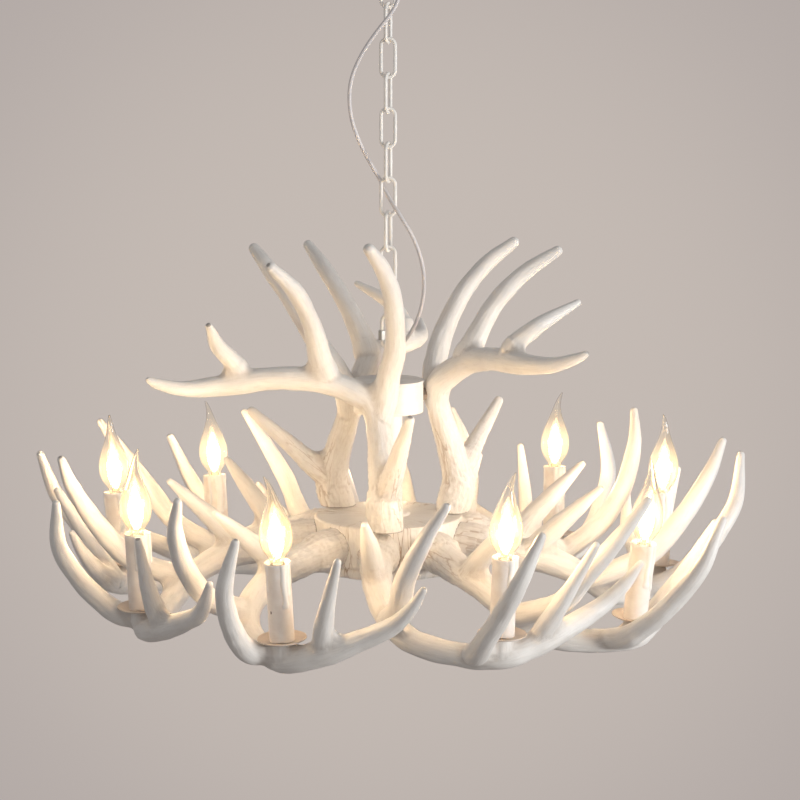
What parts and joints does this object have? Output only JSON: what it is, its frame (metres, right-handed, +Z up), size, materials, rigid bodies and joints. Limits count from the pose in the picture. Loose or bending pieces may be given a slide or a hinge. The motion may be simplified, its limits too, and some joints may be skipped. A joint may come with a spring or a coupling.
{
  "type": "antler chandelier",
  "caption": "Chandelier of cast antlers round a hub, with candle lamps in their crooks, hung by a chain and cord from a ceiling canopy.",
  "frame": {"origin": "on the ceiling, midway between the two screw slots of the mounting bar", "axes": "+Z up, -Y towards the front, +X to the right"},
  "size_m": [0.8313, 0.8237, 0.8139],
  "materials": {
    "antler_resin": "cast resin, painted warm off-white, satin, with grain along the beams",
    "hub_resin": "cast resin with a bark-like side, painted as the antlers",
    "sleeve_plastic": "ivory candle sleeve with moulded wax drips",
    "bulb_glass": "clear glass with a bent tip",
    "cord_sheath": "pale round flex",
    "socket_plastic": "moulded, slightly glossy",
    "plated_steel": "zinc-plated",
    "cream_metal": "cream enamel, worn a little at the edges"
  },
  "bodies": {
    "ceiling": {"mounting_bar": "plated_steel", "hanging_stem": "plated_steel", "stem_nut": "plated_steel", "terminal_block": "socket_plastic", "supply_lead": "cord_sheath", "canopy": "cream_metal", "canopy_collar": "cream_metal", "ceiling_loop": "cream_metal"},
    "chain": {"chain_links": "cream_metal", "quick_link": "cream_metal", "cord": "cord_sheath"},
    "link_nut": {"quick_link_nut": "plated_steel"},
    "fixture": {"bulb_1": "bulb_glass", "bulb_2": "bulb_glass", "bulb_3": "bulb_glass", "bulb_4": "bulb_glass", "bulb_5": "bulb_glass", "bulb_6": "bulb_glass", "bulb_7": "bulb_glass", "bulb_8": "bulb_glass", "bulb_9": "bulb_glass", "candle_sleeve_1": "sleeve_plastic", "candle_sleeve_2": "sleeve_plastic", "candle_sleeve_3": "sleeve_plastic", "candle_sleeve_4": "sleeve_plastic", "candle_sleeve_5": "sleeve_plastic", "candle_sleeve_6": "sleeve_plastic", "candle_sleeve_7": "sleeve_plastic", "candle_sleeve_8": "sleeve_plastic", "candle_sleeve_9": "sleeve_plastic", "cap_nut": "cream_metal", "column": "cream_metal", "column_flange": "cream_metal", "cord_gland": "socket_plastic", "drip_plates": "cream_metal", "drum": "cream_metal", "drum_lid": "cream_metal", "drum_spacers": "plated_steel", "fixture_eye": "cream_metal", "foot_screws": "plated_steel", "hub": "hub_resin", "hub_cover": "cream_metal", "lamp_sockets": "socket_plastic", "lower_antler_1": "antler_resin", "lower_antler_2": "antler_resin", "lower_antler_3": "antler_resin", "lower_antler_4": "antler_resin", "lower_antler_5": "antler_resin", "lower_antler_6": "antler_resin", "lower_antler_7": "antler_resin", "lower_antler_8": "antler_resin", "lower_antler_9": "antler_resin", "lower_antler_bolts": "plated_steel", "rod_nuts": "plated_steel", "socket_brackets": "plated_steel", "threaded_rod": "plated_steel", "upper_antler_1": "antler_resin", "upper_antler_2": "antler_resin", "upper_antler_3": "antler_resin", "upper_antler_bolts": "plated_steel"}
  },
  "joints": [
    {"name": "chain_swing", "type": "hinge", "parent": "ceiling", "child": "chain", "pos_m": [0, 0, -0.072], "axis": [0, 1, 0], "range_deg": [-10, 10]},
    {"name": "fixture_nod", "type": "hinge", "parent": "chain", "child": "fixture", "pos_m": [0, 0, -0.49395], "axis": [1, 0, 0], "range_deg": [-10, 10], "deforming": ["cord"]},
    {"name": "link_nut_travel", "type": "slide", "parent": "chain", "child": "link_nut", "axis": [0, 0, 1], "range_m": [0, 0.009]}
  ]
}
